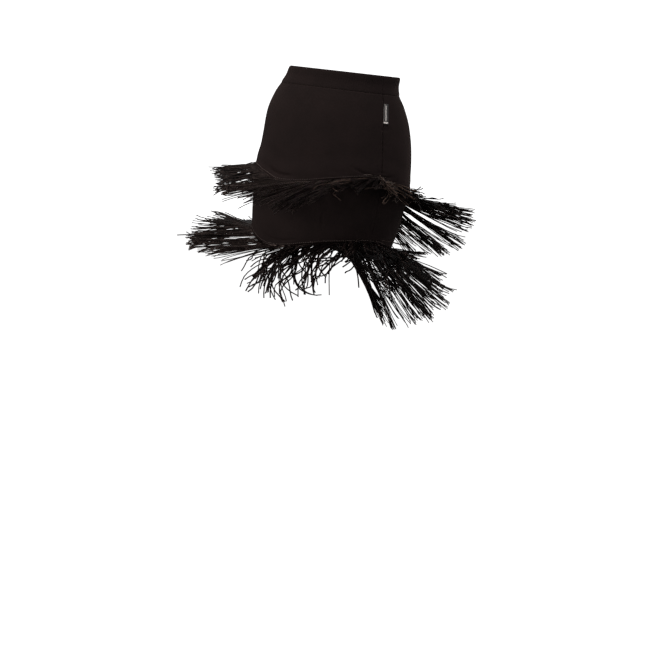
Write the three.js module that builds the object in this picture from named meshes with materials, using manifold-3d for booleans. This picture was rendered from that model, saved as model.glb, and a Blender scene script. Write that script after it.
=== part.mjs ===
import * as THREE from "three";
import Module from "manifold-3d";

// A pull-on dance skirt of black stretch jersey with two tiers of chainette fringe in flight.
// Millimetres, +Z up. The origin is the centre of the waist opening, the front faces -Y and
// the skirt's left side is +X.
// Three numbers place every point of it:
//   around  degrees from the front centre towards the left side
//   drop    depth below the waist edge, before the ring's tilt
//   out     distance off the surface that the rings describe

// Plies and gaps.
const JERSEY = 1.2;
const BAND = 2.2;
const TAPE = 1.3;
const GAP = 0.3;
const LAP = JERSEY + GAP + TAPE + GAP;

// Heights, from the waist edge down.
const BAND_HEIGHT = 34;
const LAP_HEIGHT = 12;
const TAPE_TOP = 6;
const TAPE_FOOT = 4.6;

// Meshing: columns all round, shared by every ply so that nested walls stay parallel.
const COLUMNS = 60;
const COLUMN_STEP = 360 / COLUMNS;
const HALF = COLUMNS / 2;

// Fringe: locks of chainette, three-sided.
const LOCKS = 90;
const LOCK_LENGTH = 160;
const LOCK_STEPS = 4;
const LOCK_ROOT = 1.8;
const LOCK_TIP = 1.1;
const ROOT_BELOW_HEM = 2.4;
const ROOT_RUN = 2.1;

// The worn skirt's rings, by drop: shift to the left side, tilt about the front-to-back axis,
// half width and the depths in front of and behind the centre.
const RINGS = [
  { drop: 0, lean: 0, tilt: 7.4, side: 117, front: 78, back: 86 },
  { drop: 32, lean: -10.6, tilt: 7.6, side: 125, front: 83, back: 93 },
  { drop: 54, lean: -13.3, tilt: 8, side: 137.5, front: 91, back: 104 },
  { drop: 89, lean: -17, tilt: 8.2, side: 151, front: 99, back: 117 },
  { drop: 139, lean: -20.5, tilt: 8.5, side: 158.5, front: 104, back: 127 },
  { drop: 201, lean: -29.2, tilt: 9, side: 163, front: 106, back: 130 },
  { drop: 274, lean: -43.4, tilt: 9.5, side: 160, front: 104, back: 126 },
  { drop: 329, lean: -56.5, tilt: 10, side: 151, front: 99, back: 118 },
  { drop: 380, lean: -68, tilt: 10.5, side: 144, front: 94, back: 112 },
];

// Where the left side seam runs; the right one is half way round from it.
const SIDE_SEAM = [
  { drop: 0, around: 65.6 },
  { drop: 35, around: 66.4 },
  { drop: 72, around: 62 },
  { drop: 110, around: 59.6 },
  { drop: 180, around: 59.4 },
  { drop: 260, around: 61 },
  { drop: 360, around: 64 },
];

// The two hems, by place around: how low the edge hangs and how far it curls outwards.
const UPPER_HEM = [
  { around: -68, drop: 203, curl: 1 },
  { around: -47, drop: 207, curl: 3 },
  { around: -32, drop: 215, curl: 5 },
  { around: -20, drop: 222, curl: 4 },
  { around: 0, drop: 216, curl: 1 },
  { around: 20, drop: 204, curl: 0 },
  { around: 44, drop: 192, curl: 0 },
  { around: 58, drop: 191, curl: 0 },
  { around: 81, drop: 206, curl: 1 },
  { around: 100, drop: 217, curl: 1 },
  { around: 120, drop: 230, curl: 1 },
  { around: 145, drop: 243, curl: 2 },
  { around: 172, drop: 247, curl: 2 },
  { around: 200, drop: 236, curl: 2 },
  { around: 230, drop: 212, curl: 2 },
  { around: 258, drop: 201, curl: 1 },
];
const LOWER_HEM = [
  { around: -62, drop: 331, curl: 2 },
  { around: -44, drop: 342, curl: 4 },
  { around: -26, drop: 351, curl: 4 },
  { around: -8, drop: 346, curl: 1 },
  { around: 10, drop: 334, curl: 0 },
  { around: 30, drop: 322, curl: 0 },
  { around: 56, drop: 313, curl: 0 },
  { around: 72, drop: 312, curl: 1 },
  { around: 88, drop: 320, curl: 2 },
  { around: 112, drop: 336, curl: 1 },
  { around: 140, drop: 354, curl: 1 },
  { around: 170, drop: 362, curl: 2 },
  { around: 200, drop: 354, curl: 2 },
  { around: 235, drop: 338, curl: 2 },
  { around: 265, drop: 331, curl: 1 },
];

// How the fringe flies, by place around, in degrees. A lock's heading lags its place around by
// its turn; it leaves the tape at its rise and lifts by its tip. Neighbours fan apart up and
// down and sweep apart sideways. A share of them is loose and droops. The reach is the share
// of its length that a lock spans, the rest being lost in its waves.
const UPPER_FLIGHT = [
  { around: -100, turn: 46, rise: -3, lift: 0, fan: 3, sweep: 6, reach: 0.93, loose: 0.01, droop: 10 },
  { around: -80, turn: 48, rise: -3, lift: 0, fan: 3, sweep: 6, reach: 0.93, loose: 0.01, droop: 10 },
  { around: -62, turn: 53, rise: -4, lift: 0, fan: 3, sweep: 5, reach: 0.9, loose: 0.01, droop: 10 },
  { around: -40, turn: 70, rise: -7, lift: 0, fan: 4, sweep: 5, reach: 0.9, loose: 0.01, droop: 10 },
  { around: -25, turn: 75, rise: -7, lift: -1, fan: 4, sweep: 5, reach: 0.9, loose: 0.01, droop: 10 },
  { around: -12, turn: 65, rise: -4, lift: -2, fan: 4, sweep: 5, reach: 0.9, loose: 0.01, droop: 10 },
  { around: 0, turn: 50, rise: -6, lift: -3, fan: 4, sweep: 5, reach: 0.95, loose: 0.01, droop: 10 },
  { around: 10, turn: 42, rise: -13, lift: -6, fan: 5, sweep: 5, reach: 0.95, loose: 0.02, droop: 10 },
  { around: 20, turn: 42, rise: -20, lift: -6, fan: 6, sweep: 5, reach: 0.95, loose: 0.05, droop: 10 },
  { around: 30, turn: 44, rise: -18, lift: -5, fan: 6, sweep: 6, reach: 0.95, loose: 0.05, droop: 10 },
  { around: 40, turn: 44, rise: -8, lift: -4, fan: 6, sweep: 7, reach: 0.95, loose: 0.06, droop: 10 },
  { around: 52, turn: 40, rise: -1, lift: -5, fan: 6, sweep: 8, reach: 0.85, loose: 0.12, droop: 15 },
  { around: 66, turn: 38, rise: 1, lift: -9, fan: 6, sweep: 10, reach: 0.75, loose: 0.18, droop: 15 },
  { around: 82, turn: 42, rise: 1, lift: -10, fan: 5, sweep: 8, reach: 0.75, loose: 0.2, droop: 15 },
  { around: 96, turn: 54, rise: 0, lift: 0, fan: 8, sweep: 5, reach: 0.86, loose: 0.01, droop: 10 },
  { around: 108, turn: 46, rise: -6, lift: -2, fan: 4, sweep: 5, reach: 0.92, loose: 0.01, droop: 10 },
  { around: 122, turn: 38, rise: -10, lift: 0, fan: 4, sweep: 5, reach: 0.92, loose: 0.01, droop: 10 },
  { around: 140, turn: 40, rise: -27, lift: 2, fan: 6, sweep: 6, reach: 0.95, loose: 0.01, droop: 10 },
  { around: 160, turn: 46, rise: -44, lift: 4, fan: 6, sweep: 6, reach: 0.98, loose: 0.02, droop: 20 },
  { around: 180, turn: 54, rise: -44, lift: 4, fan: 6, sweep: 6, reach: 0.97, loose: 0.06, droop: 20 },
  { around: 205, turn: 52, rise: -12, lift: 0, fan: 6, sweep: 6, reach: 0.97, loose: 0.03, droop: 10 },
  { around: 235, turn: 50, rise: 0, lift: 0, fan: 4, sweep: 6, reach: 0.97, loose: 0.03, droop: 10 },
];
const LOWER_FLIGHT = [
  { around: -100, turn: 30, rise: 6, lift: 0, fan: 4, sweep: 6, reach: 0.97, loose: 0.01, droop: 10 },
  { around: -80, turn: 31, rise: 9, lift: 0, fan: 5, sweep: 5, reach: 0.95, loose: 0.01, droop: 10 },
  { around: -66, turn: 35, rise: -1, lift: 0, fan: 8, sweep: 6, reach: 0.95, loose: 0.01, droop: 10 },
  { around: -50, turn: 40, rise: -6, lift: 0, fan: 6, sweep: 6, reach: 0.92, loose: 0.01, droop: 10 },
  { around: -38, turn: 40, rise: -5, lift: -2, fan: 6, sweep: 6, reach: 0.93, loose: 0.03, droop: 20 },
  { around: -28, turn: 38, rise: -5, lift: -2, fan: 7, sweep: 6, reach: 0.88, loose: 0.12, droop: 30 },
  { around: -18, turn: 42, rise: -17, lift: -4, fan: 10, sweep: 9, reach: 0.74, loose: 0.2, droop: 40 },
  { around: -6, turn: 38, rise: -28, lift: -6, fan: 12, sweep: 12, reach: 0.84, loose: 0.35, droop: 50 },
  { around: 8, turn: 28, rise: -24, lift: -10, fan: 16, sweep: 16, reach: 0.9, loose: 0.55, droop: 60 },
  { around: 24, turn: 20, rise: -10, lift: -10, fan: 12, sweep: 18, reach: 0.8, loose: 0.45, droop: 50 },
  { around: 38, turn: 20, rise: 2, lift: -14, fan: 6, sweep: 14, reach: 0.8, loose: 0.3, droop: 30 },
  { around: 58, turn: 28, rise: 2, lift: -14, fan: 5, sweep: 12, reach: 0.85, loose: 0.3, droop: 15 },
  { around: 76, turn: 40, rise: -2, lift: -14, fan: 5, sweep: 10, reach: 0.85, loose: 0.3, droop: 20 },
  { around: 92, turn: 36, rise: -5, lift: -6, fan: 6, sweep: 6, reach: 0.93, loose: 0.1, droop: 20 },
  { around: 106, turn: 32, rise: -16, lift: -2, fan: 9, sweep: 8, reach: 0.93, loose: 0.04, droop: 10 },
  { around: 124, turn: 29, rise: -38, lift: 0, fan: 10, sweep: 8, reach: 0.95, loose: 0.01, droop: 10 },
  { around: 145, turn: 33, rise: -55, lift: 2, fan: 9, sweep: 8, reach: 1, loose: 0.01, droop: 10 },
  { around: 168, turn: 44, rise: -73, lift: 6, fan: 6, sweep: 6, reach: 0.9, loose: 0.01, droop: 10 },
  { around: 184, turn: 50, rise: -50, lift: 0, fan: 7, sweep: 6, reach: 0.92, loose: 0.01, droop: 10 },
  { around: 200, turn: 48, rise: -8, lift: 0, fan: 4, sweep: 6, reach: 0.97, loose: 0.01, droop: 10 },
  { around: 235, turn: 35, rise: 4, lift: 0, fan: 4, sweep: 6, reach: 0.97, loose: 0.03, droop: 10 },
];

// Successive locks take these shares of the fan and of the sweep in turn. Each lock also
// stands further on by the loose step, in rounds, and is loose early in its round.
const FAN_ORDER = [0, 0.9, -0.7, 0.45, -1, 0.2, 0.75, -0.35];
const SWEEP_ORDER = [0.3, -0.8, 0.6, -0.2, 1, -0.5, -1];
const LOOSE_STEP = 0.618;

const radians = THREE.MathUtils.degToRad;

// Reads a table at a place between its rows, on a smooth curve through them. A table that
// goes all round has a period and repeats.
function readTable(rows, key, place, period) {
  const count = rows.length;
  const rowAt = (index) => {
    if (!period) return rows[THREE.MathUtils.clamp(index, 0, count - 1)];
    const turns = Math.floor(index / count);
    const row = rows[index - turns * count];
    return { ...row, [key]: row[key] + turns * period };
  };
  let at = place;
  if (period) at = THREE.MathUtils.euclideanModulo(place - rows[0][key], period) + rows[0][key];
  else at = THREE.MathUtils.clamp(place, rows[0][key], rows[count - 1][key]);
  let index = 0;
  const last = period ? count - 1 : count - 2;
  while (index < last && rows[index + 1][key] <= at) index += 1;
  const [before, from, to, after] = [index - 1, index, index + 1, index + 2].map(rowAt);
  const span = to[key] - from[key];
  const t = (at - from[key]) / span;
  const result = {};
  for (const column of Object.keys(from)) {
    const slope = (a, b) => (b[key] > a[key] ? ((b[column] - a[column]) / (b[key] - a[key])) * span : 0);
    const enter = slope(before, to);
    const leave = slope(from, after);
    const rise = to[column] - from[column];
    result[column] =
      from[column] + t * (enter + t * (3 * rise - 2 * enter - leave + t * (enter + leave - 2 * rise)));
  }
  return result;
}

function surfacePoint(around, drop) {
  const ring = readTable(RINGS, "drop", drop);
  const angle = radians(around);
  const tilt = radians(ring.tilt);
  const sideways = ring.side * Math.sin(angle);
  const depth = Math.cos(angle) > 0 ? ring.front : ring.back;
  return new THREE.Vector3(
    ring.lean + sideways * Math.cos(tilt),
    -depth * Math.cos(angle),
    -drop - sideways * Math.sin(tilt),
  );
}

function outwardAt(around, drop) {
  const along = surfacePoint(around + 0.5, drop).sub(surfacePoint(around - 0.5, drop));
  const down = surfacePoint(around, drop + 0.5).sub(surfacePoint(around, drop - 0.5));
  return down.cross(along).normalize();
}

function pointAt(around, drop, out) {
  return surfacePoint(around, drop).addScaledVector(outwardAt(around, drop), out);
}

const seamAt = (drop) => readTable(SIDE_SEAM, "drop", drop).around;
const upperHemAt = (around) => readTable(UPPER_HEM, "around", around, 360);
const lowerHemAt = (around) => readTable(LOWER_HEM, "around", around, 360);

// The outer face near each hem, by height above the edge: the upper hem stands off to lap the
// tape and the lower panel, and both hems curl out over their last centimetre or so.
const LIFT_FROM = 45;
const LIFT_FULL = 12;
const CURL_HEIGHT = 14;

function curlOut(hem, above) {
  const share = THREE.MathUtils.clamp(1 - above / CURL_HEIGHT, 0, 1);
  return hem.curl * share * share;
}

function upperOut(around, above) {
  const lift = 1 - THREE.MathUtils.smoothstep(above, LIFT_FULL, LIFT_FROM);
  return LAP * lift + curlOut(upperHemAt(around), above);
}

const lowerOut = (around, above) => curlOut(lowerHemAt(around), above);

// A closed wall from a grid of outer and inner points, rows running down. An open wall has
// two side edges, a ring joins up with itself.
function wallMesh(outer, inner, isRing) {
  const rows = outer.length;
  const columns = outer[0].length;
  const inside = rows * columns;
  const vertices = [...outer.flat(), ...inner.flat()].flatMap((point) => point.toArray());
  const triangles = [];
  const quad = (a, b, c, d) => triangles.push(a, b, c, a, c, d);
  const at = (row, column) => row * columns + (column % columns);
  const spans = isRing ? columns : columns - 1;
  for (let column = 0; column < spans; column += 1) {
    for (let row = 0; row < rows - 1; row += 1) {
      const corners = [at(row, column), at(row + 1, column), at(row + 1, column + 1), at(row, column + 1)];
      quad(...corners);
      quad(...corners.reverse().map((corner) => corner + inside));
    }
    const top = [at(0, column), at(0, column + 1)];
    const foot = [at(rows - 1, column), at(rows - 1, column + 1)];
    quad(top[0], top[1], top[1] + inside, top[0] + inside);
    quad(foot[1], foot[0], foot[0] + inside, foot[1] + inside);
  }
  if (!isRing) {
    for (let row = 0; row < rows - 1; row += 1) {
      const first = [at(row, 0), at(row + 1, 0)];
      const final = [at(row, columns - 1), at(row + 1, columns - 1)];
      quad(first[1], first[0], first[0] + inside, first[1] + inside);
      quad(final[0], final[1], final[1] + inside, final[0] + inside);
    }
  }
  return { vertices, triangles };
}

// A wall over a run of columns. Each row gives its drop and its outer face at a place around,
// and the level at which it reads the side seam and the ring's size.
function cloth(rows, thickness, firstColumn, lastColumn, isRing) {
  const seamGap = isRing ? 0 : GAP / 2;
  const columns = [];
  const count = lastColumn - firstColumn;
  for (let column = 0; column < (isRing ? count : count + 1); column += 1) columns.push(column);
  const grid = (depth) =>
    rows.map((row) =>
      columns.map((column) => {
        let around = seamAt(row.level) + (firstColumn + column) * COLUMN_STEP;
        const edge = THREE.MathUtils.radToDeg(seamGap / readTable(RINGS, "drop", row.level).back);
        if (column === 0) around += edge;
        if (column === count) around -= edge;
        return pointAt(around, row.drop(around), row.out(around) - depth);
      }),
    );
  return wallMesh(grid(0), grid(thickness), isRing);
}

const wasm = await Module();
wasm.setup();

function solidOf({ vertices, triangles }) {
  const mesh = new wasm.Mesh({
    numProp: 3,
    vertProperties: Float32Array.from(vertices),
    triVerts: Uint32Array.from(triangles),
  });
  mesh.merge();
  return new wasm.Manifold(mesh);
}

const skirt = new THREE.Group();
skirt.name = "fringe_skirt";

function addPiece(name, { vertices, triangles }, colour, roughness) {
  const geometry = new THREE.BufferGeometry();
  geometry.setAttribute("position", new THREE.Float32BufferAttribute(vertices, 3));
  geometry.setIndex(triangles);
  geometry.computeVertexNormals();
  const material = new THREE.MeshStandardMaterial({ color: colour, roughness, metalness: 0 });
  const piece = new THREE.Mesh(geometry, material);
  piece.name = name;
  skirt.add(piece);
}

// Waistband: elastic in a turned-over channel, a ring of its own. Its two edges swell over the
// elastic and the middle is drawn in.
const BAND_PROFILE = [
  { drop: 0, out: -0.9 },
  { drop: 3, out: 0.5 },
  { drop: 17, out: -0.6 },
  { drop: 31, out: 0.7 },
  { drop: BAND_HEIGHT, out: 0 },
];
const bandRows = BAND_PROFILE.map(({ drop, out }) => ({
  level: drop,
  drop: () => drop,
  out: () => out,
}));
addPiece("waistband", cloth(bandRows, BAND, 0, COLUMNS, true), "#1a1615", 0.85);

// Upper panels: front and back, from the waistband to the upper hem.
const UPPER_LEVEL = 205;
const UPPER_TOP = BAND_HEIGHT + GAP;
const UPPER_BODY = [0, 0.12, 0.26, 0.42, 0.6, 0.8];
const upperRows = [
  ...UPPER_BODY.map((share) => ({
    level: UPPER_TOP + (UPPER_LEVEL - LIFT_FROM - UPPER_TOP) * share,
    drop: (around) => UPPER_TOP + (upperHemAt(around).drop - LIFT_FROM - UPPER_TOP) * share,
    out: () => 0,
  })),
  ...[LIFT_FROM, 34, 22, LAP_HEIGHT, TAPE_TOP, 0].map((above) => ({
    level: UPPER_LEVEL - above,
    drop: (around) => upperHemAt(around).drop - above,
    out: (around) => upperOut(around, above),
  })),
];
addPiece("upper_front", cloth(upperRows, JERSEY, HALF, COLUMNS, false), "#1e1a19", 0.9);
addPiece("upper_back", cloth(upperRows, JERSEY, 0, HALF, false), "#1e1a19", 0.9);

// Lower panels: front and back. The top laps up inside the upper hem, behind the tape.
const LOWER_LEVEL = 330;
const LOWER_BODY = [0.25, 0.5, 0.75];
const lowerRows = [
  ...[LAP_HEIGHT, TAPE_TOP, 0].map((above) => ({
    level: UPPER_LEVEL - above,
    drop: (around) => upperHemAt(around).drop - above,
    out: () => 0,
  })),
  ...LOWER_BODY.map((share) => ({
    level: UPPER_LEVEL + (LOWER_LEVEL - CURL_HEIGHT - UPPER_LEVEL) * share,
    drop: (around) => {
      const from = upperHemAt(around).drop;
      return from + (lowerHemAt(around).drop - CURL_HEIGHT - from) * share;
    },
    out: () => 0,
  })),
  ...[CURL_HEIGHT, TAPE_TOP, 0].map((above) => ({
    level: LOWER_LEVEL - above,
    drop: (around) => lowerHemAt(around).drop - above,
    out: (around) => lowerOut(around, above),
  })),
];
addPiece("lower_front", cloth(lowerRows, JERSEY, HALF, COLUMNS, false), "#1e1a19", 0.9);
addPiece("lower_back", cloth(lowerRows, JERSEY, 0, HALF, false), "#1e1a19", 0.9);

// A lock of fringe: it leaves the tape straight outwards, then flies as the table says.
function lockMesh(root, around, flight, lock) {
  const fan = flight.fan * FAN_ORDER[lock % FAN_ORDER.length];
  const sweep = flight.sweep * SWEEP_ORDER[lock % SWEEP_ORDER.length];
  const isLoose = (lock * LOOSE_STEP) % 1 < flight.loose;
  const lift = flight.lift - (isLoose ? flight.droop : 0);
  const rings = [];
  const place = root.clone();
  for (let step = 0; step <= LOCK_STEPS + 1; step += 1) {
    const isRoot = step === 0;
    const along = (Math.min(step, LOCK_STEPS) - 0.5) / LOCK_STEPS;
    const heading = radians(isRoot ? around : around - flight.turn - sweep);
    const pitch = radians(isRoot ? 0 : flight.rise + fan + lift * along);
    const sideways = new THREE.Vector3(Math.cos(heading), Math.sin(heading), 0);
    const ahead = new THREE.Vector3(
      Math.cos(pitch) * Math.sin(heading),
      -Math.cos(pitch) * Math.cos(heading),
      Math.sin(pitch),
    );
    const above = ahead.clone().cross(sideways);
    const radius = THREE.MathUtils.lerp(LOCK_ROOT, LOCK_TIP, Math.max(0, step - 1) / LOCK_STEPS);
    const ring = [30, 150, 270].map((corner) =>
      place
        .clone()
        .addScaledVector(sideways, radius * Math.cos(radians(corner)))
        .addScaledVector(above, radius * Math.sin(radians(corner))),
    );
    rings.push(ring);
    place.addScaledVector(ahead, isRoot ? ROOT_RUN : (LOCK_LENGTH * flight.reach) / LOCK_STEPS);
  }
  const vertices = rings.flat().flatMap((point) => point.toArray());
  const triangles = [0, 2, 1];
  for (let ring = 0; ring < rings.length - 1; ring += 1) {
    for (let side = 0; side < 3; side += 1) {
      const a = ring * 3 + side;
      const b = ring * 3 + ((side + 1) % 3);
      triangles.push(a, b, b + 3, a, b + 3, a + 3);
    }
  }
  const tip = (rings.length - 1) * 3;
  triangles.push(tip, tip + 1, tip + 2);
  return { vertices, triangles };
}

// A tier of fringe: the heading tape, a ring inside the hem that shows below its edge, with
// every lock rooted in its foot.
function fringe(hemAt, outAt, level, flightTable) {
  const tapeRows = [TAPE_TOP, 0, -TAPE_FOOT].map((above) => ({
    level: level - above,
    drop: (around) => hemAt(around).drop - above,
    out: (around) => outAt(around, Math.max(above, 0)) - JERSEY - GAP,
  }));
  let tier = solidOf(cloth(tapeRows, TAPE, 0, COLUMNS, true));
  for (let lock = 0; lock < LOCKS; lock += 1) {
    const around = (lock * 360) / LOCKS;
    const drop = hemAt(around).drop + ROOT_BELOW_HEM;
    const root = pointAt(around, drop, outAt(around, 0) - JERSEY - GAP - TAPE / 2);
    const flight = readTable(flightTable, "around", around, 360);
    tier = tier.add(solidOf(lockMesh(root, around, flight, lock)));
  }
  const mesh = tier.getMesh();
  return { vertices: [...mesh.vertProperties], triangles: [...mesh.triVerts] };
}
addPiece("upper_fringe", fringe(upperHemAt, upperOut, UPPER_LEVEL, UPPER_FLIGHT), "#121112", 0.6);
addPiece("lower_fringe", fringe(lowerHemAt, lowerOut, LOWER_LEVEL, LOWER_FLIGHT), "#121112", 0.6);

// Label: a short woven tape folded in two, its ends caught in the left side seam and its fold
// lying back over the back panel. The profile runs from the seam out to the fold and back.
const LABEL_TOP = 51.5;
const LABEL_FOOT = 88.5;
const LABEL_ROWS = 4;
const LABEL_PROFILE = [
  { along: 0.6, out: 0.3 },
  { along: 13.2, out: 0.3 },
  { along: 14, out: 0.7 },
  { along: 14, out: 1.3 },
  { along: 13.2, out: 1.7 },
  { along: 0.6, out: 1.7 },
  { along: 0.6, out: 1.2 },
  { along: 13, out: 1.2 },
  { along: 13, out: 0.8 },
  { along: 0.6, out: 0.8 },
];
function labelMesh() {
  const vertices = [];
  const triangles = [];
  const sides = LABEL_PROFILE.length;
  for (let row = 0; row <= LABEL_ROWS; row += 1) {
    const drop = THREE.MathUtils.lerp(LABEL_TOP, LABEL_FOOT, row / LABEL_ROWS);
    const width = THREE.MathUtils.radToDeg(1 / readTable(RINGS, "drop", drop).side);
    for (const { along, out } of LABEL_PROFILE) {
      vertices.push(...pointAt(seamAt(drop) + along * width, drop, out).toArray());
    }
  }
  for (let row = 0; row < LABEL_ROWS; row += 1) {
    for (let side = 0; side < sides; side += 1) {
      const a = row * sides + side;
      const b = row * sides + ((side + 1) % sides);
      triangles.push(a, b, b + sides, a, b + sides, a + sides);
    }
  }
  const outline = LABEL_PROFILE.map(({ along, out }) => new THREE.Vector2(along, out));
  for (const [a, b, c] of THREE.ShapeUtils.triangulateShape(outline, [])) {
    const foot = LABEL_ROWS * sides;
    triangles.push(a, c, b, foot + a, foot + b, foot + c);
  }
  return { vertices, triangles };
}
addPiece("label", labelMesh(), "#0f0e0f", 0.7);

export default skirt;
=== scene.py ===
import math

import bpy
import numpy as np
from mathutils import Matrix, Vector


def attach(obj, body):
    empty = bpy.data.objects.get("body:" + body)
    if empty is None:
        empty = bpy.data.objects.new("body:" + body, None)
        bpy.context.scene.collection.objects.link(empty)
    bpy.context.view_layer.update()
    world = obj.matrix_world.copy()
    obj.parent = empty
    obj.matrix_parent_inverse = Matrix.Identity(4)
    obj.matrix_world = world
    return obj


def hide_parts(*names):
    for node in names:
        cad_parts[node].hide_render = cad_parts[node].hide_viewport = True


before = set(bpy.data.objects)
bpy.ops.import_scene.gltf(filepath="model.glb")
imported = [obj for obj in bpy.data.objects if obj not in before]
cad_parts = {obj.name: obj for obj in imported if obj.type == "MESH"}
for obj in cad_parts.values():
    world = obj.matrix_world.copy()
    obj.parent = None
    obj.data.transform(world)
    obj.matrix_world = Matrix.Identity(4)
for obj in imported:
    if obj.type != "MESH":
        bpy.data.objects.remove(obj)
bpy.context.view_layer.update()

# Waistband
# 34 mm elastic in a turned-over channel of black stretch jersey, one ring round the waist.
# Its two edges swell over the elastic, and the drawn-in middle has faint gathers.
MM = 0.001
# Three numbers place every point of the skirt: "around" is degrees from the front centre
# towards the left side, "drop" is mm below the waist edge before the ring's tilt, and "out"
# is mm off the surface that these rings describe.
RINGS = [
    dict(drop=0, lean=0, tilt=7.4, side=117, front=78, back=86),
    dict(drop=32, lean=-10.6, tilt=7.6, side=125, front=83, back=93),
    dict(drop=54, lean=-13.3, tilt=8, side=137.5, front=91, back=104),
    dict(drop=89, lean=-17, tilt=8.2, side=151, front=99, back=117),
    dict(drop=139, lean=-20.5, tilt=8.5, side=158.5, front=104, back=127),
    dict(drop=201, lean=-29.2, tilt=9, side=163, front=106, back=130),
    dict(drop=274, lean=-43.4, tilt=9.5, side=160, front=104, back=126),
    dict(drop=329, lean=-56.5, tilt=10, side=151, front=99, back=118),
    dict(drop=380, lean=-68, tilt=10.5, side=144, front=94, back=112),
]
MM_PER_DEGREE = 2.5
BAND = 2.2
BAND_HEIGHT = 34
# The drawn band ends 0.25 mm below its solid, so that the seam at its foot looks closed.
BAND_FOOT = 34.25
BAND_ROWS = [0, 0.8, *np.linspace(2, 32, 21), 33.2, BAND_FOOT]
BAND_PROFILE = [
    dict(drop=0, out=-0.9),
    dict(drop=3, out=0.5),
    dict(drop=17, out=-0.6),
    dict(drop=31, out=0.7),
    dict(drop=34, out=0),
]
BAND_COLUMNS = 900
BAND_GATHERS = 150
GATHER_HEIGHT = 0.12
GATHER_DRIFTS = 7
GATHER_DRIFT = 3
BAND_GROOVE_SHARE = 0.8


def read_table(rows, key, column, places, period=None):
    """Reads one column between its rows, on a smooth curve through them."""
    keys = np.array([row[key] for row in rows], float)
    values = np.array([row[column] for row in rows], float)
    places = np.asarray(places, float)
    if period:
        places = (places - keys[0]) % period + keys[0]
        keys = np.concatenate([keys[-2:] - period, keys, keys[:3] + period])
        values = np.concatenate([values[-2:], values, values[:3]])
    else:
        places = np.clip(places, keys[0], keys[-1])
    slopes = np.empty_like(values)
    slopes[1:-1] = (values[2:] - values[:-2]) / (keys[2:] - keys[:-2])
    slopes[0] = (values[1] - values[0]) / (keys[1] - keys[0])
    slopes[-1] = (values[-1] - values[-2]) / (keys[-1] - keys[-2])
    index = np.clip(np.searchsorted(keys, places, side="right") - 1, 0, len(keys) - 2)
    span = keys[index + 1] - keys[index]
    share = (places - keys[index]) / span
    enter = slopes[index] * span
    leave = slopes[index + 1] * span
    rise = values[index + 1] - values[index]
    cubic = enter + leave - 2 * rise
    square = 3 * rise - 2 * enter - leave
    return values[index] + share * (enter + share * (square + share * cubic))


def surface(around, drop):
    """Points in mm on the surface that the rings describe."""
    ring = {column: read_table(RINGS, "drop", column, drop) for column in RINGS[0]}
    angle = np.radians(around)
    tilt = np.radians(ring["tilt"])
    sideways = ring["side"] * np.sin(angle)
    depth = np.where(np.cos(angle) > 0, ring["front"], ring["back"])
    x = ring["lean"] + sideways * np.cos(tilt)
    z = -drop - sideways * np.sin(tilt)
    return np.stack([x, -depth * np.cos(angle), z], axis=-1)


def cloth_point(around, drop, out):
    """Points in mm that stand off the surface, square to it."""
    along = surface(around + 0.5, drop) - surface(around - 0.5, drop)
    down = surface(around, drop + 0.5) - surface(around, drop - 0.5)
    outward = np.cross(down, along)
    outward /= np.linalg.norm(outward, axis=-1, keepdims=True)
    return surface(around, drop) + outward * np.asarray(out)[..., None]


def build_mesh(name, points, faces, notes=None):
    """A smooth mesh from points in mm and faces of four, with three notes kept on each point."""
    mesh = bpy.data.meshes.new(name)
    points = np.asarray(points, np.float32).reshape(-1, 3) * MM
    faces = np.asarray(faces, np.int32).reshape(-1, 4)
    mesh.vertices.add(len(points))
    mesh.vertices.foreach_set("co", points.ravel())
    mesh.loops.add(faces.size)
    mesh.loops.foreach_set("vertex_index", faces.ravel())
    mesh.polygons.add(len(faces))
    mesh.polygons.foreach_set("loop_start", np.arange(0, faces.size, 4, dtype=np.int32))
    mesh.polygons.foreach_set("use_smooth", np.full(len(faces), True))
    if notes is not None:
        layer = mesh.attributes.new("cloth_mm", "FLOAT_VECTOR", "POINT")
        layer.data.foreach_set("vector", np.asarray(notes, np.float32).ravel())
    mesh.update(calc_edges=True)
    mesh.validate()
    piece = bpy.data.objects.new(name, mesh)
    bpy.context.scene.collection.objects.link(piece)
    return piece


def grid_faces(rows, columns, is_ring):
    """Faces of a grid of points, rows running down. A ring's last column joins its first."""
    spans = columns if is_ring else columns - 1
    row, column = np.meshgrid(np.arange(rows - 1), np.arange(spans), indexing="ij")
    here = row * columns + column
    beside = row * columns + (column + 1) % columns
    return np.stack([here, here + columns, beside + columns, beside], axis=-1).reshape(-1, 4)


def wall_faces(rows, columns, is_ring):
    """Faces of a closed wall: an outer grid of points, then an inner one."""
    inside = rows * columns
    outer = grid_faces(rows, columns, is_ring)
    faces = [outer, outer[:, ::-1] + inside]
    column = np.arange(columns if is_ring else columns - 1)
    beside = (column + 1) % columns
    foot = (rows - 1) * columns
    faces.append(np.stack([column, beside, beside + inside, column + inside], axis=-1))
    faces.append(np.stack([beside, column, column + inside, beside + inside], axis=-1) + foot)
    if not is_ring:
        first = np.arange(rows - 1) * columns
        final = first + columns - 1
        below = first + columns
        faces.append(np.stack([below, first, first + inside, below + inside], axis=-1))
        below = final + columns
        faces.append(np.stack([final, below, below + inside, final + inside], axis=-1))
    return np.concatenate(faces)


EDGE_ROUNDING = 0.2


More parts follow.
